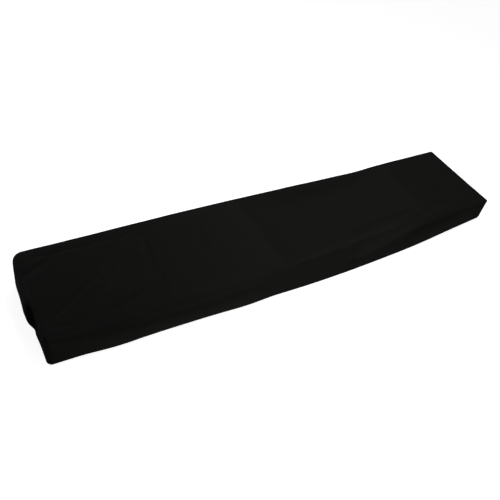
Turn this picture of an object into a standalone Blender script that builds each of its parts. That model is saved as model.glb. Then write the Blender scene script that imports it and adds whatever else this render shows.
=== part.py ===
"""A fitted stretch dust cover for a slab digital piano, as it hangs on the instrument.

One piece of cloth: a long top, and a skirt that turns down over its four edges and ends in a hem.
The cover is open below. X runs along the keyboard, with the bass end at -X, +Y is the back and +Z is up.
The origin is the middle of the top's underside, where the cover bears on the instrument.
Everything is in metres.
"""

import math
from collections import namedtuple

import bmesh
import bpy
from mathutils import Vector

# Driving dimensions
TOP_LENGTH = 1.356
TOP_DEPTH = 0.270
CLOTH = 0.002
HEM_TURN = 0.0015  # how far the hem's elastic draws its lower edge inwards
HEM_HEIGHT = 0.012

# How finely the cloth is divided
LENGTH_CELLS = 56
DEPTH_CELLS = 14
CORNER_CELLS = 2  # on each side of a corner, along its arc
ROLL_RINGS = 3
SKIRT_RINGS = 8

HALF_LENGTH = TOP_LENGTH / 2
HALF_DEPTH = TOP_DEPTH / 2

# One row for each place along a side. "at" is the place, from the side's middle.
# lift: the top edge above the flat top.      swell: the edge beyond the top's rectangle.
# roll: radius of the turn into the skirt.    drop: the hem below the flat top.
# flare: the hem beyond the top edge.         belly: the skirt's middle beyond its straight line.
Row = namedtuple("Row", "at lift swell roll drop flare belly")

FRONT = [
    Row(-0.678, -0.001, 0.002, 0.008, 0.0910, 0.002, -0.001),
    Row(-0.600, -0.002, 0.000, 0.016, 0.0950, 0.003, -0.003),
    Row(-0.460, -0.003, 0.000, 0.022, 0.0945, 0.002, -0.003),
    Row(-0.250, -0.003, 0.000, 0.028, 0.0970, 0.006, -0.001),
    Row(-0.060, -0.001, 0.000, 0.025, 0.1015, 0.014, 0.000),
    Row(0.100, 0.000, 0.000, 0.018, 0.1050, 0.014, 0.000),
    Row(0.250, 0.000, 0.000, 0.013, 0.1040, 0.011, 0.001),
    Row(0.370, 0.000, 0.000, 0.010, 0.0990, 0.009, -0.003),
    Row(0.460, 0.000, 0.000, 0.008, 0.0930, 0.006, -0.006),
    Row(0.560, 0.000, 0.000, 0.005, 0.0820, 0.003, -0.006),
    Row(0.678, 0.001, 0.000, 0.004, 0.0710, 0.000, 0.000),
]
RIGHT = [
    Row(-0.135, 0.001, 0.000, 0.004, 0.0710, 0.000, 0.000),
    Row(-0.060, 0.001, 0.000, 0.006, 0.0755, 0.002, -0.002),
    Row(0.050, 0.001, 0.000, 0.006, 0.0830, 0.003, -0.002),
    Row(0.135, 0.001, 0.000, 0.005, 0.0880, 0.000, 0.000),
]
BACK = [
    Row(-0.678, 0.000, 0.008, 0.011, 0.0930, 0.004, 0.000),
    Row(-0.560, 0.005, 0.001, 0.008, 0.0945, 0.004, 0.001),
    Row(-0.300, 0.007, 0.001, 0.008, 0.0975, 0.006, 0.001),
    Row(-0.080, 0.006, 0.000, 0.008, 0.0990, 0.006, 0.000),
    Row(0.070, 0.004, 0.000, 0.008, 0.0995, 0.006, -0.001),
    Row(0.210, 0.000, 0.000, 0.008, 0.0985, 0.006, -0.001),
    Row(0.330, -0.001, 0.000, 0.008, 0.0965, 0.005, 0.000),
    Row(0.500, 0.001, 0.000, 0.007, 0.0925, 0.003, 0.000),
    Row(0.678, 0.001, 0.000, 0.005, 0.0880, 0.000, 0.000),
]
LEFT = [
    Row(-0.135, -0.001, 0.002, 0.008, 0.0910, 0.002, -0.001),
    Row(-0.075, 0.000, 0.001, 0.009, 0.0905, 0.004, -0.002),
    Row(-0.030, 0.001, 0.002, 0.010, 0.0900, 0.007, -0.004),
    Row(0.005, 0.001, 0.008, 0.020, 0.0900, 0.008, 0.001),
    Row(0.060, 0.001, 0.009, 0.025, 0.0910, 0.005, 0.001),
    Row(0.100, 0.001, 0.009, 0.018, 0.0920, 0.004, 0.001),
    Row(0.135, 0.000, 0.008, 0.011, 0.0930, 0.004, 0.000),
]

# Counter-clockwise from above. "turn" is the side's outward direction, in degrees from +X.
Side = namedtuple("Side", "rows turn start end")
FRONT_SIDE = Side(FRONT, -90, "front left", "front right")
RIGHT_SIDE = Side(RIGHT, 0, "front right", "back right")
BACK_SIDE = Side(BACK, 90, "back right", "back left")
LEFT_SIDE = Side(LEFT, 180, "back left", "front left")

# Each corner's sign along X and along Y, and its radius in plan.
Corner = namedtuple("Corner", "x y radius")
CORNERS = {
    "front left": Corner(-1, -1, 0.010),
    "front right": Corner(1, -1, 0.006),
    "back right": Corner(1, 1, 0.007),
    "back left": Corner(-1, 1, 0.018),
}

# The cloth was packed folded, so the top bulges between creases that run from front to back.
# at: the crease's place on the top's middle line.
# lean: how far it goes towards the treble for each metre back.
Crease = namedtuple("Crease", "at lean")
BASS_END = Crease(-0.678, 0)
BASS_CREASE = Crease(-0.377, 0.02)
MIDDLE_CREASE = Crease(-0.077, -0.06)
TREBLE_CREASE = Crease(0.446, 0.10)
TREBLE_END = Crease(0.678, 0)

# bulge: how high the cloth stands between two creases. late: how much later than midway it is highest.
# The bulge fades between two distances from the top's middle line.
Panel = namedtuple("Panel", "start end bulge late")
PANELS = [
    Panel(BASS_END, BASS_CREASE, 0.0010, 1),
    Panel(BASS_CREASE, MIDDLE_CREASE, 0.0060, 2),
    Panel(MIDDLE_CREASE, TREBLE_CREASE, 0.0060, 4),
    Panel(TREBLE_CREASE, TREBLE_END, 0.0010, 1),
]
FULL_BULGE_TO = 0.090
NO_BULGE_FROM = 0.140

# Folds on the flat cloth, where a point past an edge lies that far out along the cloth.
# bow: how far the fold's middle lies to the left of its chord, seen from its start.
# height: above the cloth, and a trough's is below 0. width: half its breadth.
Fold = namedtuple("Fold", "start end bow height width")
FOLDS = [
    # the swag from the bass end's front corner down to the hem, and the hem that stands out below it
    Fold((-0.720, -0.128), (-0.410, -0.203), -0.016, -0.0038, 0.013),
    Fold((-0.620, -0.229), (-0.080, -0.232), 0.000, 0.0150, 0.018),
    # a tight line below the bass half's front edge
    Fold((-0.640, -0.150), (-0.120, -0.152), 0.002, -0.0012, 0.009),
    # a line along the treble half's front edge
    Fold((-0.100, -0.134), (0.260, -0.119), -0.006, 0.0032, 0.006),
    Fold((0.130, -0.131), (0.450, -0.088), -0.003, 0.0032, 0.007),
    Fold((0.110, -0.099), (0.430, -0.085), -0.003, -0.0026, 0.009),
    # the swag from there down to the hem, the hollow on its bass side and the deep one below it
    Fold((0.530, -0.104), (0.090, -0.206), 0.002, 0.0085, 0.015),
    Fold((0.158, -0.130), (0.138, -0.215), 0.000, -0.0030, 0.009),
    Fold((0.680, -0.154), (0.290, -0.194), 0.003, -0.0105, 0.017),
    # the top sags where the back edge does
    Fold((-0.040, 0.108), (0.420, 0.122), -0.022, -0.0095, 0.024),
    # the bass end's folds, from its front corner across the top
    Fold((-0.685, -0.130), (-0.490, -0.001), 0.000, 0.0018, 0.014),
    Fold((-0.665, -0.085), (-0.505, 0.020), 0.000, -0.0015, 0.012),
    Fold((-0.690, 0.046), (-0.580, 0.096), 0.003, -0.0019, 0.012),
    # the bass end's skirt is drawn in where it folds
    Fold((-0.700, -0.005), (-0.775, -0.040), 0.000, -0.0060, 0.012),
]


def between(rows, at):
    """The row at a place between those of the table, on a smooth curve through them."""
    last = len(rows) - 2
    i = max(k for k in range(last + 1) if k == 0 or rows[k].at <= at)
    before, here = rows[max(i - 1, 0)], rows[i]
    there, after = rows[i + 1], rows[min(i + 2, last + 1)]
    span = there.at - here.at
    t = min(max((at - here.at) / span, 0.0), 1.0)
    values = []
    for a, b, c, d in zip(before, here, there, after):
        slope_b = (c - a) / (there.at - before.at) * span
        slope_c = (d - b) / (after.at - here.at) * span
        values.append(
            (2 * t**3 - 3 * t**2 + 1) * b
            + (t**3 - 2 * t**2 + t) * slope_b
            + (3 * t**2 - 2 * t**3) * c
            + (t**3 - t**2) * slope_c
        )
    return Row(*values)


def side_of(i, j):
    """The side that the top's edge point (i, j) is on, its place in cells along it, and its cells."""
    if j == 0:
        return FRONT_SIDE, i, LENGTH_CELLS
    if i == LENGTH_CELLS:
        return RIGHT_SIDE, j, DEPTH_CELLS
    if j == DEPTH_CELLS:
        return BACK_SIDE, LENGTH_CELLS - i, LENGTH_CELLS
    return LEFT_SIDE, DEPTH_CELLS - j, DEPTH_CELLS


def arc_end(corner, outward):
    """Where a corner's arc meets the side that faces outward."""
    centre = Vector((corner.x * (HALF_LENGTH - corner.radius), corner.y * (HALF_DEPTH - corner.radius)))
    return centre, centre + corner.radius * outward


def column(i, j):
    """The skirt's column at the top's edge point (i, j): its foot, its outward direction and its row."""
    side, place, cells = side_of(i, j)
    into_start = max(0.0, 1 - place / CORNER_CELLS)
    into_end = max(0.0, 1 - (cells - place) / CORNER_CELLS)
    start, end = CORNERS[side.start], CORNERS[side.end]
    angle = math.radians(side.turn + 45 * (into_end - into_start))
    outward = Vector((math.cos(angle), math.sin(angle)))
    facing = Vector((math.cos(math.radians(side.turn)), math.sin(math.radians(side.turn))))
    start_centre, first = arc_end(start, facing)
    end_centre, last = arc_end(end, facing)
    if into_start:
        foot = start_centre + start.radius * outward
    elif into_end:
        foot = end_centre + end.radius * outward
    else:
        foot = first.lerp(last, (place - CORNER_CELLS) / (cells - 2 * CORNER_CELLS))
    along = foot.x if side in (FRONT_SIDE, BACK_SIDE) else foot.y
    row = between(side.rows, along)
    return foot + row.swell * outward, outward, row


def rim(i, j):
    """The edge of the top's flat part, where the cloth starts to turn down."""
    foot, outward, row = column(i, j)
    plan = foot - row.roll * outward
    return Vector((plan.x, plan.y, row.lift))


def top_point(i, j):
    """A point of the top, stretched between its four edges."""
    front, back = rim(i, 0), rim(i, DEPTH_CELLS)
    left, right = rim(0, j), rim(LENGTH_CELLS, j)
    corners = [rim(x, y) for y in (0, DEPTH_CELLS) for x in (0, LENGTH_CELLS)]
    u = (front.x - corners[0].x) / (corners[1].x - corners[0].x)
    v = (left.y - corners[0].y) / (corners[2].y - corners[0].y)
    across = front.lerp(back, v) + left.lerp(right, u)
    return across - corners[0].lerp(corners[1], u).lerp(corners[2].lerp(corners[3], u), v)


def skirt_point(i, j, ring):
    """A point of the skirt, and its place on the flat cloth."""
    foot, outward, row = column(i, j)
    roll = row.roll
    if ring <= ROLL_RINGS:
        turned = math.radians(90 * ring / ROLL_RINGS)
        out = roll * (math.sin(turned) - 1)
        down = roll * (1 - math.cos(turned))
        along = roll * turned
    else:
        share = (ring - ROLL_RINGS) / SKIRT_RINGS
        length = row.drop + row.lift - roll
        turned_in = HEM_TURN * max(0.0, 1 - (1 - share) * length / HEM_HEIGHT)
        out = row.flare * share + 4 * row.belly * share * (1 - share) - turned_in
        down = roll + length * share
        along = roll * math.pi / 2 + length * share
    plan = foot + out * outward
    flat = foot + (along - roll) * outward
    return Vector((plan.x, plan.y, row.lift - down)), flat


def eased(t):
    """0 below 0, 1 above 1 and a smooth step between."""
    t = min(max(t, 0.0), 1.0)
    return t * t * (3 - 2 * t)


def ridge(fold, flat):
    """How high a fold stands at a point of the flat cloth."""
    start, chord = Vector(fold.start), Vector(fold.end) - Vector(fold.start)
    away = flat - start
    share = away.dot(chord) / chord.length_squared
    nearest = min(max(share, 0.0), 1.0)
    aside = (chord.x * away.y - chord.y * away.x) / chord.length
    aside -= 4 * fold.bow * nearest * (1 - nearest)
    past = (share - nearest) * chord.length
    fade = eased(4 * nearest) * eased(4 * (1 - nearest))
    return fold.height * fade * math.exp(-(aside**2 + past**2) / fold.width**2)


def bulge(flat):
    """How high the cloth stands between its packing creases at a point of the flat cloth."""
    fade = eased((NO_BULGE_FROM - abs(flat.y)) / (NO_BULGE_FROM - FULL_BULGE_TO))
    for panel in PANELS:
        start = panel.start.at + panel.start.lean * flat.y
        end = panel.end.at + panel.end.lean * flat.y
        share = (flat.x - start) / (end - start)
        if 0 <= share < 1:
            highest = panel.late / (panel.late + 1)
            full = highest**panel.late * (1 - highest)
            return fade * panel.bulge * share**panel.late * (1 - share) / full
    return 0.0


def cloth_mesh(name):
    """The cloth's outer face: a grid for the top, its edges drawn down ring by ring, then put in place."""
    bm = bmesh.new()
    bmesh.ops.create_grid(bm, x_segments=LENGTH_CELLS, y_segments=DEPTH_CELLS, size=0.5)
    for v in bm.verts:
        v.co = ((v.co.x + 0.5) * LENGTH_CELLS, (v.co.y + 0.5) * DEPTH_CELLS, 0)
    edge = [e for e in bm.edges if e.is_boundary]
    for _ in range(ROLL_RINGS + SKIRT_RINGS):
        drawn = bmesh.ops.extrude_edge_only(bm, edges=edge)["geom"]
        ring = [g for g in drawn if isinstance(g, bmesh.types.BMVert)]
        edge = [g for g in drawn if isinstance(g, bmesh.types.BMEdge)]
        bmesh.ops.translate(bm, verts=ring, vec=(0, 0, -1))

    flat = {}
    for v in bm.verts:
        i, j, ring = round(v.co.x), round(v.co.y), round(-v.co.z)
        if ring:
            v.co, flat[v] = skirt_point(i, j, ring)
        else:
            v.co = top_point(i, j)
            flat[v] = v.co.xy
    bmesh.ops.recalc_face_normals(bm, faces=bm.faces)
    bm.normal_update()
    for v in bm.verts:
        height = bulge(flat[v]) + sum(ridge(fold, flat[v]) for fold in FOLDS)
        v.co += height * v.normal + Vector((0, 0, CLOTH))
    for face in bm.faces:
        face.smooth = True
    mesh = bpy.data.meshes.new(name)
    bm.to_mesh(mesh)
    bm.free()
    return mesh


def black_cloth():
    material = bpy.data.materials.new("black stretch cloth")
    material.use_nodes = True
    surface = material.node_tree.nodes["Principled BSDF"]
    surface.inputs["Base Color"].default_value = (0.0064, 0.0062, 0.0055, 1)
    surface.inputs["Roughness"].default_value = 0.9
    surface.inputs["Metallic"].default_value = 0.0
    return material


def make_cover(collection):
    cover = bpy.data.objects.new("cover", cloth_mesh("cover"))
    cover.data.materials.append(black_cloth())
    collection.objects.link(cover)
    thickness = cover.modifiers.new("cloth thickness", "SOLIDIFY")
    thickness.thickness = CLOTH
    thickness.offset = -1
    thickness.use_even_offset = True
    return cover


def main():
    for obj in list(bpy.data.objects):
        bpy.data.objects.remove(obj)
    collection = bpy.data.collections.new("piano cover")
    bpy.context.scene.collection.children.link(collection)
    make_cover(collection)


if __name__ == "__main__":
    main()
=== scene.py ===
"""The looks of a fitted stretch dust cover for a slab digital piano.

The cover is one piece of black knitted cloth: a long top, and a skirt that turns down over its four edges
and ends in a turned, stitched hem. It is made here as a thin sheet on the folds of the CAD solid, with the
finer creases, tension lines and hem that the solid leaves out. X runs along the keyboard with the bass end
at -X, +Y is the back and +Z is up. Everything is in metres.
"""

import math
from collections import namedtuple
from functools import cache

import bmesh
import bpy
import numpy as np
from mathutils import Matrix, Vector, noise


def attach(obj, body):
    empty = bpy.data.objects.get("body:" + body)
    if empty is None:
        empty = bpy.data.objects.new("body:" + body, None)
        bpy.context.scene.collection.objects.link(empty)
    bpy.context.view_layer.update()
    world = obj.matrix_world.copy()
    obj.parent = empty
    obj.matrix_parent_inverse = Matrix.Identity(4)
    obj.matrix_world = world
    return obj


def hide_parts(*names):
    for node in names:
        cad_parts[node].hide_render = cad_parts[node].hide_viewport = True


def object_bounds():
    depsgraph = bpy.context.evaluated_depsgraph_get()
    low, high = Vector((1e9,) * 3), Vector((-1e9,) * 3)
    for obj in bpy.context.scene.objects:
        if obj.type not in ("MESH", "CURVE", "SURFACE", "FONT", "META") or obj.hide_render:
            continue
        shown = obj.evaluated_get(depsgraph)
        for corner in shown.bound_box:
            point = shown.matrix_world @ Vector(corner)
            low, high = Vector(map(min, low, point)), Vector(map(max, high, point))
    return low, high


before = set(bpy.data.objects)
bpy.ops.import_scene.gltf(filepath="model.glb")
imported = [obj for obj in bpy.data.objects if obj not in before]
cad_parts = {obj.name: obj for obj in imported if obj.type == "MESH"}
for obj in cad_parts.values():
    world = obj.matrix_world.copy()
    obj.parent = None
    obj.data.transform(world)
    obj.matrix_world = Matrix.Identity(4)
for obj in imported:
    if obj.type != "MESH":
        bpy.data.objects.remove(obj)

CAD_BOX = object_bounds()
FLAT_MAP = "flat cloth"
PRESSED_AND_SHADED = "pressed_and_shaded"
PAINTED_LIGHT_MAP = "pale"

# ---------------------------------------------------------------- the cloth's shape

# Driving dimensions
TOP_LENGTH = 1.356
TOP_DEPTH = 0.270
OUTER_FACE = 0.002  # the cloth's outer face above the instrument
CLOTH = 0.0012
HEM_TURN = 0.0015  # how far the hem's elastic draws its lower edge inwards
HEM_HEIGHT = 0.012
HEM_FULLNESS = 0.0005  # how far the doubled cloth of the hem stands out
HEM_STEP_TOP = HEM_HEIGHT + 0.0005
HEM_STEP = 0.0015  # the height, down from there, over which the hem comes to stand out
STITCH_ROWS = (0.0085, 0.0105)  # the twin needle's rows above the hem's edge
STITCH_PITCH = 0.0034
STITCH_SIZE = (0.0025, 0.0006, 0.0005)  # a stitch's length, breadth and height

HALF_LENGTH = TOP_LENGTH / 2
HALF_DEPTH = TOP_DEPTH / 2

# The grid lines from one place to the next, along the keyboard and across it, closest where creases run.
Run = namedtuple("Run", "end step")
LENGTH_START = -0.668
LENGTH_RUNS = [
    Run(-0.500, 0.0028),
    Run(-0.390, 0.0034),
    Run(-0.360, 0.0016),
    Run(-0.240, 0.0055),
    Run(-0.215, 0.0022),
    Run(-0.090, 0.0055),
    Run(-0.064, 0.0016),
    Run(0.425, 0.0062),
    Run(0.465, 0.0017),
    Run(0.668, 0.0058),
]
DEPTH_START = -0.125
DEPTH_RUNS = [Run(-0.085, 0.0027), Run(0.085, 0.0040), Run(0.125, 0.0032)]
CORNER_CELLS = 4  # on each side of a corner, along its arc
ROLL_RINGS = 6
SKIRT_RINGS = 13
HEM_RINGS = (0.0160, 0.0130, 0.0118, 0.0105, 0.0085, 0.0060, 0.0035, 0.0012, 0.0)

# One row for each place along a side. "at" is the place, from the side's middle.
# lift: the top edge above the flat top.      swell: the edge beyond the top's rectangle.
# roll: radius of the turn into the skirt.    drop: the hem below the flat top.
# flare: the hem beyond the top edge.         belly: the skirt's middle beyond its straight line.
Row = namedtuple("Row", "at lift swell roll drop flare belly")

FRONT = [
    Row(-0.678, -0.001, 0.002, 0.008, 0.0910, 0.002, -0.001),
    Row(-0.600, -0.002, 0.000, 0.016, 0.0950, 0.003, -0.003),
    Row(-0.460, -0.003, 0.000, 0.022, 0.0945, 0.002, -0.003),
    Row(-0.250, -0.003, 0.000, 0.028, 0.0970, 0.006, -0.001),
    Row(-0.060, -0.001, 0.000, 0.025, 0.1015, 0.014, 0.000),
    Row(0.100, 0.000, 0.000, 0.018, 0.1050, 0.014, 0.000),
    Row(0.250, 0.000, 0.000, 0.013, 0.1040, 0.011, 0.001),
    Row(0.370, 0.000, 0.000, 0.010, 0.0990, 0.009, -0.003),
    Row(0.460, 0.000, 0.000, 0.008, 0.0930, 0.006, -0.006),
    Row(0.560, 0.000, 0.000, 0.005, 0.0820, 0.003, -0.006),
    Row(0.678, 0.001, 0.000, 0.004, 0.0710, 0.000, 0.000),
]
RIGHT = [
    Row(-0.135, 0.001, 0.000, 0.004, 0.0710, 0.000, 0.000),
    Row(-0.060, 0.001, 0.000, 0.006, 0.0755, 0.002, -0.002),
    Row(0.050, 0.001, 0.000, 0.006, 0.0830, 0.003, -0.002),
    Row(0.135, 0.001, 0.000, 0.005, 0.0880, 0.000, 0.000),
]
BACK = [
    Row(-0.678, 0.000, 0.008, 0.011, 0.0930, 0.004, 0.000),
    Row(-0.560, 0.005, 0.001, 0.008, 0.0945, 0.004, 0.001),
    Row(-0.300, 0.007, 0.001, 0.008, 0.0975, 0.006, 0.001),
    Row(-0.080, 0.006, 0.000, 0.008, 0.0990, 0.006, 0.000),
    Row(0.070, 0.004, 0.000, 0.008, 0.0995, 0.006, -0.001),
    Row(0.210, 0.000, 0.000, 0.008, 0.0985, 0.006, -0.001),
    Row(0.330, -0.001, 0.000, 0.008, 0.0965, 0.005, 0.000),
    Row(0.500, 0.001, 0.000, 0.007, 0.0925, 0.003, 0.000),
    Row(0.678, 0.001, 0.000, 0.005, 0.0880, 0.000, 0.000),
]
LEFT = [
    Row(-0.135, -0.001, 0.002, 0.008, 0.0910, 0.002, -0.001),
    Row(-0.075, 0.000, 0.001, 0.009, 0.0905, 0.004, -0.002),
    Row(-0.030, 0.001, 0.002, 0.010, 0.0900, 0.007, -0.004),
    Row(0.005, 0.001, 0.008, 0.020, 0.0900, 0.008, 0.001),
    Row(0.060, 0.001, 0.009, 0.025, 0.0910, 0.005, 0.001),
    Row(0.100, 0.001, 0.009, 0.018, 0.0920, 0.004, 0.001),
    Row(0.135, 0.000, 0.008, 0.011, 0.0930, 0.004, 0.000),
]

# Counter-clockwise from above. "turn" is the side's outward direction, in degrees from +X.
Side = namedtuple("Side", "rows turn start end")
FRONT_SIDE = Side(FRONT, -90, "front left", "front right")
RIGHT_SIDE = Side(RIGHT, 0, "front right", "back right")
BACK_SIDE = Side(BACK, 90, "back right", "back left")
LEFT_SIDE = Side(LEFT, 180, "back left", "front left")

# Each corner's sign along X and along Y, and its radius in plan.
Corner = namedtuple("Corner", "x y radius")
CORNERS = {
    "front left": Corner(-1, -1, 0.010),
    "front right": Corner(1, -1, 0.006),
    "back right": Corner(1, 1, 0.007),
    "back left": Corner(-1, 1, 0.018),
}

# The cloth was packed folded, so the top bulges between creases that run from front to back.
# at: the crease's place on the top's middle line.
# lean: how far it goes towards the treble for each metre back.
Crease = namedtuple("Crease", "at lean")
BASS_END = Crease(-0.678, 0)
BASS_CREASE = Crease(-0.377, 0.02)
MIDDLE_CREASE = Crease(-0.077, -0.06)
TREBLE_CREASE = Crease(0.446, 0.10)
TREBLE_END = Crease(0.678, 0)

# bulge: how high the cloth stands between two creases. late: how much later than midway it is highest.
# The bulge fades between two distances from the top's middle line.
# pale: how pale the cloth is painted at the start and the end, from 0 to 1, a painted light and shade for
# how the lamps fall on each panel and the steps of light at its creases.
Panel = namedtuple("Panel", "start end bulge late pale")
PANELS = [
    Panel(BASS_END, BASS_CREASE, 0.0010, 1, (0.10, 0.25)),
    Panel(BASS_CREASE, MIDDLE_CREASE, 0.0060, 2, (0.30, 1.00)),
    Panel(MIDDLE_CREASE, TREBLE_CREASE, 0.0060, 4, (0.22, 0.85)),
    Panel(TREBLE_CREASE, TREBLE_END, 0.0010, 1, (0.35, 0.20)),
]
FULL_BULGE_TO = 0.090
NO_BULGE_FROM = 0.140
# The skirt's paleness is painted too, a painted light and shade that sets its brightness against the
# top's.
SKIRT_PAINTED_PALENESS = 0.45
PALE_FADE = 0.020  # the breadth over which the top's paleness becomes the skirt's

# Folds on the flat cloth, where a point past an edge lies that far out along the cloth.
# bow: how far the fold's middle lies to the left of its chord, seen from its start.
# height: above the cloth, and a trough's is below 0. width: half its breadth.
Fold = namedtuple("Fold", "start end bow height width")
MAIN_FOLDS = [
    # the swag from the bass end's front corner down to the hem and up again, and the full hem below it
    Fold((-0.720, -0.128), (-0.410, -0.203), -0.016, -0.0038, 0.013),
    Fold((-0.480, -0.199), (-0.100, -0.192), 0.003, -0.0008, 0.007),
    Fold((-0.620, -0.229), (-0.080, -0.232), 0.000, 0.0150, 0.018),
    # tight lines along the bass half's front edge
    Fold((-0.670, -0.116), (-0.450, -0.110), 0.003, -0.0016, 0.006),
    Fold((-0.555, -0.106), (-0.425, -0.072), -0.005, -0.0032, 0.007),
    Fold((-0.640, -0.150), (-0.120, -0.152), 0.002, -0.0012, 0.009),
    Fold((-0.420, -0.166), (-0.080, -0.162), 0.000, 0.0008, 0.008),
    # a line along the treble half's front edge, with a trough below it
    Fold((-0.100, -0.134), (0.260, -0.119), -0.006, 0.0032, 0.006),
    Fold((0.130, -0.131), (0.450, -0.088), -0.003, 0.0032, 0.007),
    Fold((-0.080, -0.149), (0.160, -0.153), 0.000, -0.0026, 0.007),
    Fold((0.130, -0.140), (0.360, -0.123), -0.001, -0.0026, 0.006),
    # the swag from there down to the hem, the hollow on its bass side and the deep one below it
    Fold((0.530, -0.104), (0.090, -0.206), 0.002, 0.0090, 0.013),
    Fold((0.158, -0.130), (0.138, -0.215), 0.000, -0.0030, 0.009),
    Fold((0.680, -0.154), (0.290, -0.194), 0.003, -0.0105, 0.017),
    Fold((0.110, -0.099), (0.430, -0.085), -0.003, -0.0026, 0.009),
    # the top sags where the back edge does
    Fold((-0.040, 0.108), (0.420, 0.122), -0.022, -0.0095, 0.024),
    # the bass end's folds, from its front corner across the top
    Fold((-0.685, -0.130), (-0.490, -0.001), 0.000, 0.0015, 0.009),
    Fold((-0.665, -0.094), (-0.505, 0.012), 0.000, -0.0016, 0.008),
    Fold((-0.525, -0.066), (-0.450, 0.028), 0.000, 0.0018, 0.006),
    Fold((-0.690, 0.046), (-0.580, 0.096), 0.003, -0.0016, 0.008),
    Fold((-0.675, 0.104), (-0.350, 0.096), 0.000, -0.0018, 0.007),
    # the end skirt's full back half, with a line where it leaves the top, and its fold
    Fold((-0.686, 0.135), (-0.688, -0.020), 0.000, -0.0020, 0.006),
    Fold((-0.700, -0.005), (-0.775, -0.040), 0.000, -0.0060, 0.012),
]
# Painted light and painted shade: patches painted paler where light falls and darker where shade falls.
# height: how much paler it is there, or darker below 0.
PAINTED_LIGHT_PATCHES = [
    # the bass half's front: painted light on the hem, painted shade on the roll, and painted light and
    # shade in lines on it
    Fold((-0.660, -0.214), (-0.080, -0.217), 0.000, 1.30, 0.014),
    Fold((-0.720, -0.133), (-0.200, -0.138), 0.000, -0.80, 0.011),
    Fold((-0.700, -0.117), (-0.460, -0.119), 0.000, 0.40, 0.006),
    Fold((-0.560, -0.158), (-0.080, -0.160), 0.000, 0.60, 0.007),
    Fold((-0.640, -0.150), (-0.240, -0.190), -0.010, -0.25, 0.009),
    # the treble half's front: painted light on the line along the edge, the swag and the hem, and painted
    # shade round them
    Fold((-0.110, -0.135), (0.390, -0.120), 0.003, 1.00, 0.005),
    Fold((0.130, -0.140), (0.380, -0.126), 0.000, -0.70, 0.004),
    Fold((0.440, -0.126), (0.140, -0.182), 0.000, 0.40, 0.012),
    Fold((0.164, -0.130), (0.152, -0.212), 0.000, -0.80, 0.008),
    Fold((0.330, -0.160), (0.530, -0.152), 0.000, -1.00, 0.026),
    Fold((0.500, -0.158), (0.640, -0.154), 0.000, 0.50, 0.012),
    Fold((0.380, -0.221), (0.660, -0.176), 0.000, 1.20, 0.008),
    Fold((-0.140, -0.172), (0.160, -0.180), 0.000, -0.50, 0.030),
    # painted shade and painted light in lines along the top's small folds
    Fold((0.120, -0.095), (0.400, -0.079), 0.000, -0.30, 0.008),
    Fold((0.450, -0.078), (0.560, -0.090), 0.000, -0.50, 0.008),
    Fold((0.335, 0.018), (0.438, 0.015), 0.000, -0.90, 0.006),
    Fold((0.325, -0.022), (0.412, -0.001), 0.000, -0.60, 0.005),
    Fold((0.490, -0.046), (0.575, -0.032), 0.000, -0.60, 0.006),
    Fold((-0.555, -0.102), (-0.430, -0.076), 0.005, -0.40, 0.006),
    Fold((-0.620, 0.008), (-0.500, 0.036), 0.000, -0.30, 0.005),
    Fold((-0.525, -0.062), (-0.455, 0.026), 0.000, 0.50, 0.005),
    Fold((-0.510, -0.014), (-0.505, 0.032), 0.000, 1.20, 0.004),
    Fold((-0.406, 0.010), (-0.376, 0.086), 0.000, 0.80, 0.004),
    # painted shade in the sag
    Fold((-0.030, 0.090), (0.405, 0.110), -0.018, -0.90, 0.024),
]
# Creases that were pressed into the cloth when it was packed, where it is smoother and painted darker, a
# painted shade along each crease
PRESSED_LINES = [
    Fold((-0.370, 0.125), (-0.376, -0.130), 0.000, 0.0013, 0.0035),
    Fold((-0.223, 0.075), (-0.233, -0.050), 0.000, 0.0010, 0.0035),
]
FINE_FOLDS = [
    # the sharp middle of the bass end's fan, and short marks where it ends
    Fold((-0.680, -0.118), (-0.514, -0.011), 0.000, 0.0009, 0.0035),
    Fold((-0.511, -0.014), (-0.506, 0.030), 0.000, 0.0010, 0.0035),
    Fold((-0.620, 0.006), (-0.500, 0.034), 0.000, -0.0008, 0.0045),
    Fold((-0.406, 0.010), (-0.376, 0.086), 0.000, 0.0012, 0.0035),
    Fold((-0.663, -0.018), (-0.660, -0.112), 0.000, -0.0012, 0.0040),
    Fold((-0.660, -0.103), (-0.610, -0.112), 0.000, -0.0010, 0.0050),
    Fold((-0.652, 0.030), (-0.634, 0.068), 0.000, 0.0010, 0.0070),
    # small lines across the treble half
    Fold((0.035, 0.075), (0.135, 0.068), 0.000, -0.0008, 0.0045),
    Fold((0.335, 0.016), (0.438, 0.020), 0.000, -0.0012, 0.0055),
    Fold((0.330, -0.020), (0.438, 0.002), 0.000, -0.0012, 0.0055),
    Fold((0.495, -0.046), (0.575, -0.034), 0.000, -0.0007, 0.0065),
    Fold((0.455, -0.082), (0.560, -0.094), 0.000, -0.0014, 0.0065),
    # the hem's roll below the treble end's hollow
    Fold((0.400, -0.219), (0.660, -0.184), 0.003, 0.0022, 0.0065),
]

# The cloth's slight unevenness, longer along the keyboard than across it
Ripple = namedtuple("Ripple", "height along across seed")
RIPPLES = [Ripple(0.0004, 0.075, 0.022, 3.0), Ripple(0.00012, 0.020, 0.007, 11.0)]


def grid_shares(start, runs):
    """The grid lines of some runs, as shares of the whole way from the first line to the last."""
    lines = [start]
    for run in runs:
        cells = max(1, round((run.end - lines[-1]) / run.step))
        lines += list(np.linspace(lines[-1], run.end, cells + 1)[1:])
    return [(line - lines[0]) / (lines[-1] - lines[0]) for line in lines]


LENGTH_SHARES = grid_shares(LENGTH_START, LENGTH_RUNS)
DEPTH_SHARES = grid_shares(DEPTH_START, DEPTH_RUNS)
LENGTH_CELLS = len(LENGTH_SHARES) - 1 + 2 * CORNER_CELLS
DEPTH_CELLS = len(DEPTH_SHARES) - 1 + 2 * CORNER_CELLS
RINGS = ROLL_RINGS + SKIRT_RINGS + len(HEM_RINGS)


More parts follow.
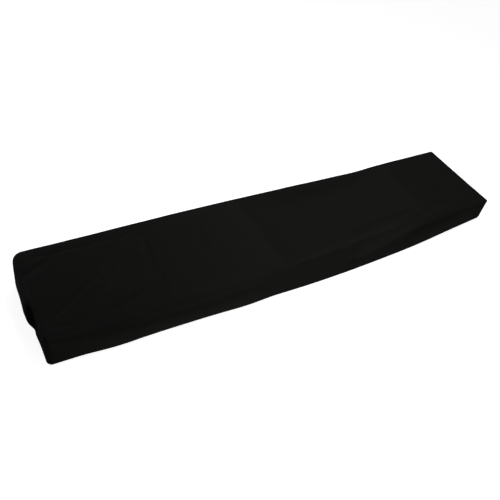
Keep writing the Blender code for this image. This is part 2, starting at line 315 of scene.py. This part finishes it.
def between(rows, at):
    """The row at a place between those of the table, on a smooth curve through them."""
    last = len(rows) - 2
    i = max(k for k in range(last + 1) if k == 0 or rows[k].at <= at)
    before, here = rows[max(i - 1, 0)], rows[i]
    there, after = rows[i + 1], rows[min(i + 2, last + 1)]
    span = there.at - here.at
    t = min(max((at - here.at) / span, 0.0), 1.0)
    values = []
    for a, b, c, d in zip(before, here, there, after):
        slope_b = (c - a) / (there.at - before.at) * span
        slope_c = (d - b) / (after.at - here.at) * span
        values.append(
            (2 * t**3 - 3 * t**2 + 1) * b
            + (t**3 - 2 * t**2 + t) * slope_b
            + (3 * t**2 - 2 * t**3) * c
            + (t**3 - t**2) * slope_c
        )
    return Row(*values)


def side_of(i, j):
    """The side that an edge point of the top is on, its place along it in cells, and the side's shares."""
    if j == 0:
        return FRONT_SIDE, i, LENGTH_SHARES
    if i == LENGTH_CELLS:
        return RIGHT_SIDE, j, DEPTH_SHARES
    if j == DEPTH_CELLS:
        return BACK_SIDE, LENGTH_CELLS - i, [1 - share for share in reversed(LENGTH_SHARES)]
    return LEFT_SIDE, DEPTH_CELLS - j, [1 - share for share in reversed(DEPTH_SHARES)]


def arc_end(corner, outward):
    """Where a corner's arc meets the side that faces outward."""
    centre = Vector((corner.x * (HALF_LENGTH - corner.radius), corner.y * (HALF_DEPTH - corner.radius)))
    return centre, centre + corner.radius * outward


@cache
def column(i, j):
    """The skirt's column at an edge point of the top: its foot on the outline, its way out and its row."""
    side, place, shares = side_of(i, j)
    cells = len(shares) - 1 + 2 * CORNER_CELLS
    into_start = max(0.0, 1 - place / CORNER_CELLS)
    into_end = max(0.0, 1 - (cells - place) / CORNER_CELLS)
    start, end = CORNERS[side.start], CORNERS[side.end]
    angle = math.radians(side.turn + 45 * (into_end - into_start))
    outward = Vector((math.cos(angle), math.sin(angle)))
    facing = Vector((math.cos(math.radians(side.turn)), math.sin(math.radians(side.turn))))
    start_centre, first = arc_end(start, facing)
    end_centre, last = arc_end(end, facing)
    if into_start:
        foot = start_centre + start.radius * outward
    elif into_end:
        foot = end_centre + end.radius * outward
    else:
        foot = first.lerp(last, shares[place - CORNER_CELLS])
    along = foot.x if side in (FRONT_SIDE, BACK_SIDE) else foot.y
    row = between(side.rows, along)
    return foot + row.swell * outward, outward, row


@cache
def rim(i, j):
    """The edge of the top's flat part, where the cloth starts to turn down."""
    foot, outward, row = column(i, j)
    plan = foot - row.roll * outward
    return Vector((plan.x, plan.y, row.lift))


def top_point(i, j):
    """A point of the top, stretched between its four edges."""
    front, back = rim(i, 0), rim(i, DEPTH_CELLS)
    left, right = rim(0, j), rim(LENGTH_CELLS, j)
    corners = [rim(x, y) for y in (0, DEPTH_CELLS) for x in (0, LENGTH_CELLS)]
    u = (front.x - corners[0].x) / (corners[1].x - corners[0].x)
    v = (left.y - corners[0].y) / (corners[2].y - corners[0].y)
    across = front.lerp(back, v) + left.lerp(right, u)
    return across - corners[0].lerp(corners[1], u).lerp(corners[2].lerp(corners[3], u), v)


def above_hem(row, ring):
    """How far above the hem's edge a ring of the skirt lies."""
    length = row.drop + row.lift - row.roll
    step = ring - ROLL_RINGS
    if step <= SKIRT_RINGS:
        return length - (length - HEM_RINGS[0]) * step / (SKIRT_RINGS + 1)
    return HEM_RINGS[step - SKIRT_RINGS - 1]


def skirt_point(i, j, ring):
    """A point of the skirt, and its place on the flat cloth."""
    foot, outward, row = column(i, j)
    roll = row.roll
    if ring <= ROLL_RINGS:
        turned = math.radians(90 * ring / ROLL_RINGS)
        out = roll * (math.sin(turned) - 1)
        down = roll * (1 - math.cos(turned))
        along = roll * turned
    else:
        length = row.drop + row.lift - roll
        above = above_hem(row, ring)
        share = 1 - above / length
        turned_in = HEM_TURN * max(0.0, 1 - above / HEM_HEIGHT)
        doubled = HEM_FULLNESS * float(eased((HEM_STEP_TOP - above) / HEM_STEP))
        out = row.flare * share + 4 * row.belly * share * (1 - share) - turned_in + doubled
        down = roll + length * share
        along = roll * math.pi / 2 + length * share
    plan = foot + out * outward
    flat = foot + (along - roll) * outward
    return Vector((plan.x, plan.y, row.lift - down)), flat


def eased(t):
    """0 below 0, 1 above 1 and a smooth step between."""
    t = np.clip(t, 0.0, 1.0)
    return t * t * (3 - 2 * t)


def ridge(fold, flat):
    """How high a fold stands at each of some points of the flat cloth."""
    chord = np.subtract(fold.end, fold.start)
    length = np.hypot(*chord)
    away = flat - fold.start
    share = away @ chord / length**2
    nearest = share.clip(0, 1)
    aside = (chord[0] * away[:, 1] - chord[1] * away[:, 0]) / length
    aside -= 4 * fold.bow * nearest * (1 - nearest)
    past = (share - nearest) * length
    fade = eased(4 * nearest) * eased(4 * (1 - nearest))
    return fold.height * fade * np.exp(-(aside**2 + past**2) / fold.width**2)


def panel_shares(flat):
    """Each panel, which points of the flat cloth are in it, and how far across it each point lies."""
    along, back = flat[:, 0], flat[:, 1]
    for panel in PANELS:
        start = panel.start.at + panel.start.lean * back
        end = panel.end.at + panel.end.lean * back
        share = (along - start) / (end - start)
        yield panel, (share >= 0) & (share < 1), share.clip(0, 1)


def bulge(flat):
    """How high the cloth stands between its packing creases at each of some points of the flat cloth."""
    fade = eased((NO_BULGE_FROM - abs(flat[:, 1])) / (NO_BULGE_FROM - FULL_BULGE_TO))
    height = np.zeros(len(flat))
    for panel, inside, share in panel_shares(flat):
        highest = panel.late / (panel.late + 1)
        full = highest**panel.late * (1 - highest)
        height += np.where(inside, fade * panel.bulge * share**panel.late * (1 - share) / full, 0)
    return height


def painted_paleness(flat):
    """How pale the cloth is painted at each of some points of the flat cloth: painted light and painted
    shade on its panels, skirt, hem, roll and folds.
    """
    fade = eased((NO_BULGE_FROM - abs(flat[:, 1])) / PALE_FADE)
    pale = np.full(len(flat), SKIRT_PAINTED_PALENESS)
    for panel, inside, share in panel_shares(flat):
        start, end = panel.pale
        pale += np.where(inside, fade * (start + (end - start) * share - SKIRT_PAINTED_PALENESS), 0)
    return pale + sum(ridge(patch, flat) for patch in PAINTED_LIGHT_PATCHES)


def ripple(flat):
    """The cloth's slight unevenness at each of some points of the flat cloth."""
    return np.array([
        sum(r.height * noise.noise((x / r.along, y / r.across, r.seed)) for r in RIPPLES) for x, y in flat
    ])


def edge_points():
    """The top's edge points in order, counter-clockwise from above, from the front left corner."""
    front = [(i, 0) for i in range(LENGTH_CELLS)]
    right = [(LENGTH_CELLS, j) for j in range(DEPTH_CELLS)]
    back = [(i, DEPTH_CELLS) for i in range(LENGTH_CELLS, 0, -1)]
    left = [(0, j) for j in range(DEPTH_CELLS, 0, -1)]
    return front + right + back + left


def cloth_faces(edge):
    """The top's quads row by row, then the skirt's ring by ring, facing out."""
    wide = LENGTH_CELLS + 1
    top = wide * (DEPTH_CELLS + 1)
    faces = [
        (a, a + 1, a + 1 + wide, a + wide)
        for a in (j * wide + i for j in range(DEPTH_CELLS) for i in range(LENGTH_CELLS))
    ]
    around = len(edge)
    upper = [j * wide + i for i, j in edge]
    for ring in range(RINGS):
        lower = [top + ring * around + k for k in range(around)]
        faces += [
            (lower[k], lower[(k + 1) % around], upper[(k + 1) % around], upper[k]) for k in range(around)
        ]
        upper = lower
    return faces


def cloth_mesh(name):
    """The cloth's outer face, and the indices of its points ring by ring down the skirt."""
    edge = edge_points()
    points = [top_point(i, j) for j in range(DEPTH_CELLS + 1) for i in range(LENGTH_CELLS + 1)]
    flat = [point.xy for point in points]
    for ring in range(1, RINGS + 1):
        for i, j in edge:
            point, place = skirt_point(i, j, ring)
            points.append(point)
            flat.append(place)
    mesh = bpy.data.meshes.new(name)
    mesh.from_pydata(points, [], cloth_faces(edge))
    mesh.update()

    flat = np.array(flat)
    normals = np.zeros(len(points) * 3)
    mesh.vertices.foreach_get("normal", normals)
    folds = MAIN_FOLDS + PRESSED_LINES + FINE_FOLDS
    height = bulge(flat) + ripple(flat) + sum(ridge(fold, flat) for fold in folds)
    places = np.array(points) + height[:, None] * normals.reshape(-1, 3) + (0, 0, OUTER_FACE)
    mesh.vertices.foreach_set("co", places.ravel())
    mesh.shade_smooth()
    mesh.update()
    add_maps(mesh, flat)
    return mesh


def add_maps(mesh, flat):
    """Each point's place on the flat cloth, a UV map in metres, how far it lies in a packing crease, which
    is smoother there and carries a painted shade, and how pale it is painted, a painted light and shade.
    """
    corners = np.zeros(len(mesh.loops), int)
    mesh.loops.foreach_get("vertex_index", corners)
    layer = mesh.uv_layers.new(name=FLAT_MAP)
    layer.uv.foreach_set("vector", flat[corners].ravel())
    pressed_and_shaded = sum(ridge(line._replace(height=1), flat) for line in PRESSED_LINES).clip(0, 1)
    mesh.attributes.new(PRESSED_AND_SHADED, "FLOAT", "POINT").data.foreach_set("value", pressed_and_shaded)
    mesh.attributes.new(PAINTED_LIGHT_MAP, "FLOAT", "POINT").data.foreach_set("value", painted_paleness(flat))


def make_cover(material):
    cover = bpy.data.objects.new("stretch_cover", cloth_mesh("stretch_cover"))
    cover.data.materials.append(material)
    bpy.context.scene.collection.objects.link(cover)
    thickness = cover.modifiers.new("cloth thickness", "SOLIDIFY")
    thickness.thickness = CLOTH
    thickness.offset = -1
    thickness.use_even_offset = True
    return cover


# ---------------------------------------------------------------- the hem's stitches


def ring_line(mesh, above):
    """The closed line of the cloth at one height above the hem's edge: its points and their normals."""
    around = 2 * (LENGTH_CELLS + DEPTH_CELLS)
    top = (LENGTH_CELLS + 1) * (DEPTH_CELLS + 1)
    ring = ROLL_RINGS + SKIRT_RINGS + HEM_RINGS.index(above)
    first = top + ring * around
    line = [mesh.vertices[first + k] for k in range(around)]
    return np.array([v.co for v in line]), np.array([v.normal for v in line])


def stitch_places(points, normals):
    """At even steps along a closed line: the ways along, across and out of the cloth, and the place."""
    ends = np.roll(points, -1, axis=0)
    steps = np.linalg.norm(ends - points, axis=1)
    reached = np.concatenate([[0], np.cumsum(steps)])
    count = round(reached[-1] / STITCH_PITCH)
    for at in np.linspace(0, reached[-1], count, endpoint=False):
        k = min(np.searchsorted(reached, at, side="right") - 1, len(points) - 1)
        along = Vector(ends[k] - points[k]).normalized()
        out = Vector(normals[k])
        across = out.cross(along).normalized()
        place = Vector(points[k]) + along * (at - reached[k])
        yield Matrix((along, across, along.cross(across))).transposed(), place


def make_stitches(cover, material):
    """Two rows of stitches along the hem, in one mesh."""
    seed = bmesh.new()
    bmesh.ops.create_icosphere(seed, subdivisions=1, radius=0.5)
    bmesh.ops.scale(seed, vec=STITCH_SIZE, verts=seed.verts)
    shape = np.array([v.co for v in seed.verts])
    shape_faces = np.array([[v.index for v in face.verts] for face in seed.faces])
    seed.free()
    points, faces = [], []
    for above in STITCH_ROWS:
        for turn, place in stitch_places(*ring_line(cover.data, above)):
            faces.append(shape_faces + len(points) * len(shape))
            points.append(shape @ np.array(turn).T + place)
    mesh = bpy.data.meshes.new("hem_stitches")
    mesh.from_pydata(np.concatenate(points), [], np.concatenate(faces))
    mesh.materials.append(material)
    mesh.shade_smooth()
    mesh.update()
    stitches = bpy.data.objects.new("hem_stitches", mesh)
    bpy.context.scene.collection.objects.link(stitches)
    return stitches


# ---------------------------------------------------------------- materials

# The knit's columns and rows of stitches, and how steeply a stitch's legs run
WALE = 0.0014
COURSE = 0.0012
LEG_SLANT = 1.2

# The knit's own relief, and the fibres' share in it
RELIEF = 0.00012
RELIEF_STRENGTH = 0.35
FIBRE_RELIEF = 0.5

# Sizes of the two noises, as repeats for each metre, and how far the larger one changes the paleness
PATCHES_PER_METRE = 9.0
FIBRES_PER_METRE = 420.0
PATCHINESS = 0.6

ROUGHNESS = (0.74, 0.84)
PRESSED_SMOOTHNESS = 0.05
SPECULAR = 0.12
SHEEN = 0.025
SHEEN_ROUGHNESS = 0.5

# The dye is painted darkest where the painted light and shade, with the random patches, is the first
# value, and palest where it is the second: painted shade and painted light on the cloth's own black.
PAINTED_LIGHT_RANGE = (-0.4, 1.5)
DYE_IN_PAINTED_SHADE = (0.0046, 0.0044, 0.0039, 1)
DYE_IN_PAINTED_LIGHT = (0.0084, 0.0082, 0.0072, 1)
# painted shade: the colour of the pressed creases, darker than the rest of the cloth
PAINTED_CREASE_SHADE = (0.0041, 0.0039, 0.0035, 1)


def add_node(tree, kind, inputs=(), **settings):
    """A new node with its settings, and its inputs by name or place, linked where a value is a socket."""
    node = tree.nodes.new(kind)
    for name, value in settings.items():
        setattr(node, name, value)
    for socket, value in dict(inputs).items():
        if isinstance(value, bpy.types.NodeSocket):
            tree.links.new(value, node.inputs[socket])
        else:
            node.inputs[socket].default_value = value
    return node


def math_node(tree, operation, *values):
    return add_node(tree, "ShaderNodeMath", dict(enumerate(values)), operation=operation).outputs[0]


def mix_colours(tree, share, first, second):
    factor, a, b, result = 0, 6, 7, 2  # the colour mixer's own sockets
    node = add_node(tree, "ShaderNodeMix", {factor: share, a: first, b: second}, data_type="RGBA")
    return node.outputs[result]


def noise_node(tree, place, scale, detail):
    settings = {"Vector": place, "Scale": scale, "Detail": detail}
    return add_node(tree, "ShaderNodeTexNoise", settings, noise_dimensions="2D").outputs["Fac"]


def knit_height(tree, across, along):
    """The height, 0 to 1, of a plain knit: columns of stitches whose two legs meet in a V."""
    column_place = math_node(tree, "FRACT", math_node(tree, "DIVIDE", across, WALE))
    from_middle = math_node(tree, "ABSOLUTE", math_node(tree, "SUBTRACT", column_place, 0.5))
    slant = math_node(tree, "MULTIPLY", from_middle, LEG_SLANT)
    rows = math_node(tree, "DIVIDE", along, COURSE)
    row_place = math_node(tree, "FRACT", math_node(tree, "ADD", rows, slant))
    leg = math_node(tree, "SINE", math_node(tree, "MULTIPLY", row_place, math.pi))
    groove = math_node(tree, "SINE", math_node(tree, "MULTIPLY", from_middle, 2 * math.pi))
    return math_node(tree, "MULTIPLY", leg, groove)


def cloth_material():
    """Black knitted stretch cloth, a little smoother along its packing creases, with a painted shade
    darkening them and painted light and painted shade across it.
    """
    material = bpy.data.materials.new("black stretch cloth")
    material.use_nodes = True
    tree = material.node_tree
    surface = tree.nodes["Principled BSDF"]
    place = add_node(tree, "ShaderNodeUVMap", uv_map=FLAT_MAP).outputs[0]
    axes = add_node(tree, "ShaderNodeSeparateXYZ", {0: place}).outputs
    pressed_and_shaded = add_node(tree, "ShaderNodeAttribute", attribute_name=PRESSED_AND_SHADED).outputs["Fac"]
    patches = noise_node(tree, place, PATCHES_PER_METRE, 3.0)
    fibres = noise_node(tree, place, FIBRES_PER_METRE, 2.0)

    # painted light and painted shade, mixed with the cloth's random patches
    pale = add_node(tree, "ShaderNodeAttribute", attribute_name=PAINTED_LIGHT_MAP).outputs["Fac"]
    patch = math_node(tree, "SUBTRACT", patches, 0.5)
    patches_and_painted_light = math_node(tree, "MULTIPLY_ADD", patch, PATCHINESS, pale)
    tone_range = {"Value": patches_and_painted_light, "From Min": PAINTED_LIGHT_RANGE[0], "From Max": PAINTED_LIGHT_RANGE[1]}
    share = add_node(tree, "ShaderNodeMapRange", tone_range).outputs[0]
    dye_with_painted_light = mix_colours(tree, share, DYE_IN_PAINTED_SHADE, DYE_IN_PAINTED_LIGHT)
    # painted shade: the pressed creases are painted darker
    tree.links.new(mix_colours(tree, pressed_and_shaded, dye_with_painted_light, PAINTED_CREASE_SHADE), surface.inputs["Base Color"])

    roughness = {"Value": fibres, "To Min": ROUGHNESS[0], "To Max": ROUGHNESS[1]}
    rough = add_node(tree, "ShaderNodeMapRange", roughness).outputs[0]
    smoothed = math_node(tree, "SUBTRACT", rough, math_node(tree, "MULTIPLY", pressed_and_shaded, PRESSED_SMOOTHNESS))
    tree.links.new(smoothed, surface.inputs["Roughness"])

    knit = knit_height(tree, axes["X"], axes["Y"])
    height = math_node(tree, "ADD", knit, math_node(tree, "MULTIPLY", fibres, FIBRE_RELIEF))
    relief = {"Height": height, "Strength": RELIEF_STRENGTH, "Distance": RELIEF}
    bump = add_node(tree, "ShaderNodeBump", relief)
    tree.links.new(bump.outputs["Normal"], surface.inputs["Normal"])

    surface.inputs["Specular IOR Level"].default_value = SPECULAR
    surface.inputs["Sheen Weight"].default_value = SHEEN
    surface.inputs["Sheen Roughness"].default_value = SHEEN_ROUGHNESS
    return material


FLOOR_SIZE = 20
FLOOR_COLOUR = (0.88, 0.88, 0.88, 1)
FLOOR_GLOW = 0.9


def floor_material():
    material = bpy.data.materials.new("pale floor")
    material.use_nodes = True
    surface = material.node_tree.nodes["Principled BSDF"]
    surface.inputs["Base Color"].default_value = FLOOR_COLOUR
    surface.inputs["Specular IOR Level"].default_value = 0.0
    surface.inputs["Emission Color"].default_value = (1, 1, 1, 1)
    surface.inputs["Emission Strength"].default_value = FLOOR_GLOW
    return material


# ---------------------------------------------------------------- floor, light and camera

# azimuth 0 is in front of the keyboard and 90 at its treble end. power is in watts.
Lamp = namedtuple("Lamp", "name azimuth elevation breadth height power target distance")
LAMPS = [
    Lamp("overhead", 30, 76, 0.8, 0.8, 5.1, (0.04, 0, 0), 1.1),
    Lamp("behind", 175, 60, 0.9, 0.9, 3.0, (0.08, 0, 0), 1.25),
    Lamp("front", 4, 4, 1.2, 0.9, 11.0, (0.04, 0, 0), 1.5),
    Lamp("back", 210, 6, 1.2, 1.2, 8.5, (0, 0, 0), 2.2),
    Lamp("bass end", -100, 2, 0.8, 0.8, 2.5, (-0.68, 0, -0.05), 2.2),
    Lamp("side", 120, 20, 2.0, 2.0, 16.0, (0, 0, 0), 6.0),
]
WORLD_LIGHT = 0.001

CAMERA_TARGET = Vector((-0.1361, -0.0559, 0.002))
CAMERA_AZIMUTH = -36.95
CAMERA_ELEVATION = 45.03
CAMERA_ROLL = 11.67
CAMERA_DISTANCE = 1.4646
CAMERA_LENS = 40.684
SENSOR = 36


def direction(azimuth, elevation):
    """The way from the object to something seen at that azimuth and elevation."""
    a, e = math.radians(azimuth), math.radians(elevation)
    return Vector((math.sin(a) * math.cos(e), -math.cos(a) * math.cos(e), math.sin(e)))


def add_lamp(lamp):
    light = bpy.data.lights.new(lamp.name, "AREA")
    light.shape = "RECTANGLE"
    light.size = lamp.breadth
    light.size_y = lamp.height
    light.energy = lamp.power
    obj = bpy.data.objects.new(lamp.name, light)
    away = direction(lamp.azimuth, lamp.elevation)
    obj.location = away * lamp.distance
    obj.rotation_euler = (obj.location - Vector(lamp.target)).to_track_quat("Z", "Y").to_euler()
    obj.visible_camera = False
    bpy.context.scene.collection.objects.link(obj)


def add_floor():
    half = FLOOR_SIZE / 2
    mesh = bpy.data.meshes.new("floor")
    level = CAD_BOX[0][2]
    corners = [(-half, -half, level), (half, -half, level), (half, half, level), (-half, half, level)]
    mesh.from_pydata(corners, [], [(0, 1, 2, 3)])
    mesh.materials.append(floor_material())
    floor = bpy.data.objects.new("floor", mesh)
    bpy.context.scene.collection.objects.link(floor)
    # The black cloth is lit by the lamps alone, and the low lamps' light passes through the floor to it.
    floor.visible_diffuse = False
    floor.visible_glossy = False
    floor.visible_shadow = False
    return floor


def add_world():
    world = bpy.data.worlds.new("soft light")
    bpy.context.scene.world = world
    world.use_nodes = True
    background = world.node_tree.nodes["Background"]
    background.inputs["Color"].default_value = (1, 1, 1, 1)
    background.inputs["Strength"].default_value = WORLD_LIGHT


def add_camera():
    back = direction(CAMERA_AZIMUTH, CAMERA_ELEVATION)
    level_right = (-back).cross(Vector((0, 0, 1))).normalized()
    level_up = level_right.cross(-back)
    roll = math.radians(CAMERA_ROLL)
    right = math.cos(roll) * level_right + math.sin(roll) * level_up
    up = math.cos(roll) * level_up - math.sin(roll) * level_right
    data = bpy.data.cameras.new("camera")
    data.sensor_width = SENSOR
    data.lens = CAMERA_LENS
    camera = bpy.data.objects.new("camera", data)
    turn = Matrix((right, up, back)).transposed().to_4x4()
    camera.matrix_world = Matrix.Translation(CAMERA_TARGET + back * CAMERA_DISTANCE) @ turn
    bpy.context.scene.collection.objects.link(camera)
    bpy.context.scene.camera = camera


# ---------------------------------------------------------------- the scene

cloth = cloth_material()
cover = make_cover(cloth)
stitches = make_stitches(cover, cloth)
for piece in (cover, stitches):
    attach(piece, "root")
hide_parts("cover")

add_floor()
add_world()
for lamp in LAMPS:
    add_lamp(lamp)
add_camera()

bpy.context.scene.view_settings.view_transform = "Standard"
